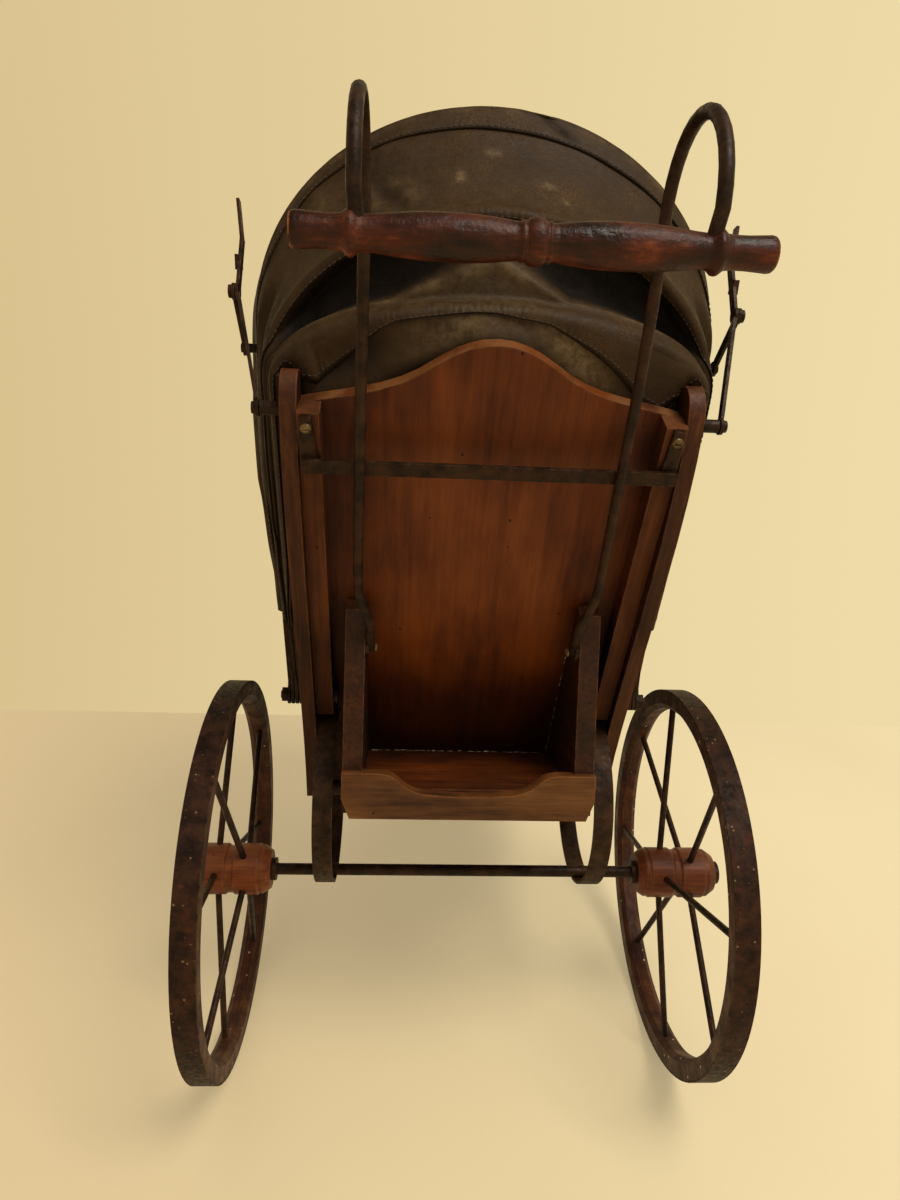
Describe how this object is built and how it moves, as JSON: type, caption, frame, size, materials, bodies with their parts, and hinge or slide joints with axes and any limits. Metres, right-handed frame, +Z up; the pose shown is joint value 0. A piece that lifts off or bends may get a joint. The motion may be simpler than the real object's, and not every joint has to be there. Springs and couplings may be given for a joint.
{
  "type": "doll stroller",
  "caption": "Wooden doll stroller with a folding leather hood on iron bows, two large spoked wheels, hoop springs, a small forked wheel and a turned bar on hooked rods.",
  "frame": {"origin": "on the floor, under the middle of the overall width and length", "axes": "+Z up, +Y forward (the handle is at -Y), +X to the right of whoever pushes it"},
  "size_m": [0.44, 0.5526, 0.7066],
  "materials": {
    "rim_wood": "old red-brown stain, worn and dusty",
    "hub_wood": "turned wood, old red-brown stain",
    "body_wood": "red-brown stain, worn along the edges",
    "box_wood": "bare worn wood, orange-brown",
    "handle_wood": "turned, glossy dark red-brown varnish",
    "dark_iron": "dark forged iron, lightly rusted",
    "tyre_iron": "dark iron with brown rust, worn on the tread",
    "spring_iron": "dusty grey-brown strip iron",
    "leather": "black-brown oilcloth leather, cracked and worn",
    "screw": "dull steel"
  },
  "bodies": {
    "carriage": {"axle": "dark_iron", "axle_nut_left": "dark_iron", "axle_nut_right": "dark_iron", "hoop_left": "spring_iron", "hoop_right": "spring_iron", "hoop_rivets": "dark_iron", "hoop_bolts": "dark_iron", "tie_left": "dark_iron", "tie_right": "dark_iron", "bearer_left": "body_wood", "bearer_right": "body_wood", "cross_board": "box_wood", "shelf_board": "box_wood", "platform": "body_wood", "back_panel": "body_wood", "side_left": "body_wood", "side_right": "body_wood", "batten_left": "body_wood", "batten_right": "body_wood", "seat_board": "body_wood", "seat_riser": "body_wood", "foot_board": "body_wood", "dash_board": "body_wood", "strap": "dark_iron", "strap_screws": "screw", "rod_left": "dark_iron", "rod_right": "dark_iron", "rod_screws": "screw", "handle_bar": "handle_wood", "pivot_left": "dark_iron", "pivot_right": "dark_iron", "rear_bow": "dark_iron", "rear_leather": "leather", "stud_left": "dark_iron", "stud_right": "dark_iron", "front_block": "body_wood", "front_fork": "dark_iron", "front_axle": "dark_iron"},
    "left_wheel": {"tyre_left": "tyre_iron", "felloe_left": "rim_wood", "hub_left": "hub_wood", "spokes_left": "dark_iron"},
    "right_wheel": {"tyre_right": "tyre_iron", "felloe_right": "rim_wood", "hub_right": "hub_wood", "spokes_right": "dark_iron"},
    "front_wheel": {"front_wheel": "rim_wood", "front_tyre": "tyre_iron"},
    "hood_front": {"front_bow": "dark_iron", "front_leather": "leather"},
    "hood_main": {"main_bow": "dark_iron", "main_leather": "leather"},
    "hood_middle": {"middle_bow": "dark_iron", "middle_leather": "leather"},
    "left_iron_arm": {"iron_arm_left": "dark_iron"},
    "right_iron_arm": {"iron_arm_right": "dark_iron"},
    "left_iron_link": {"iron_link_left": "dark_iron"},
    "right_iron_link": {"iron_link_right": "dark_iron"}
  },
  "joints": [
    {"name": "left_wheel_spin", "type": "hinge", "parent": "carriage", "child": "left_wheel", "pos_m": [-0.182, -0.0887, 0.1525], "axis": [1, 0, 0], "continuous": true},
    {"name": "right_wheel_spin", "type": "hinge", "parent": "carriage", "child": "right_wheel", "pos_m": [0.182, -0.0887, 0.1525], "axis": [1, 0, 0], "continuous": true},
    {"name": "front_wheel_spin", "type": "hinge", "parent": "carriage", "child": "front_wheel", "pos_m": [0, 0.2263, 0.05], "axis": [1, 0, 0], "continuous": true},
    {"name": "hood_front_fold", "type": "hinge", "parent": "carriage", "child": "hood_front", "pos_m": [0, -0.0737, 0.306], "axis": [1, 0, 0], "range_deg": [-6, 14]},
    {"name": "hood_main_fold", "type": "hinge", "parent": "carriage", "child": "hood_main", "pos_m": [0, -0.0737, 0.306], "axis": [1, 0, 0], "range_deg": [-3, 6.9]},
    {"name": "hood_middle_fold", "type": "hinge", "parent": "carriage", "child": "hood_middle", "pos_m": [0, -0.0737, 0.306], "axis": [1, 0, 0], "range_deg": [-1.2, 2.5]},
    {"name": "left_iron_arm_turn", "type": "hinge", "parent": "carriage", "child": "left_iron_arm", "pos_m": [-0.141, -0.1427, 0.5325], "axis": [1, 0, 0], "range_deg": [-3.6, 8.1]},
    {"name": "left_iron_knuckle_turn", "type": "hinge", "parent": "left_iron_arm", "child": "left_iron_link", "pos_m": [-0.1594, -0.0848, 0.5934], "axis": [1, 0, 0], "range_deg": [-36, 15.5]},
    {"name": "right_iron_arm_turn", "type": "hinge", "parent": "carriage", "child": "right_iron_arm", "pos_m": [0.141, -0.1427, 0.5325], "axis": [1, 0, 0], "range_deg": [-3.6, 8.1]},
    {"name": "right_iron_knuckle_turn", "type": "hinge", "parent": "right_iron_arm", "child": "right_iron_link", "pos_m": [0.1594, -0.0848, 0.5934], "axis": [1, 0, 0], "range_deg": [-36, 15.5]}
  ],
  "couplings": [
    {"joint": "hood_main_fold", "follows": "hood_front_fold", "ratio": 0.48},
    {"joint": "hood_middle_fold", "follows": "hood_front_fold", "ratio": 0.17},
    {"joint": "left_iron_arm_turn", "follows": "hood_front_fold", "ratio": 0.567},
    {"joint": "left_iron_knuckle_turn", "follows": "hood_front_fold", "ratio": -2.557},
    {"joint": "right_iron_arm_turn", "follows": "hood_front_fold", "ratio": 0.567},
    {"joint": "right_iron_knuckle_turn", "follows": "hood_front_fold", "ratio": -2.557}
  ]
}
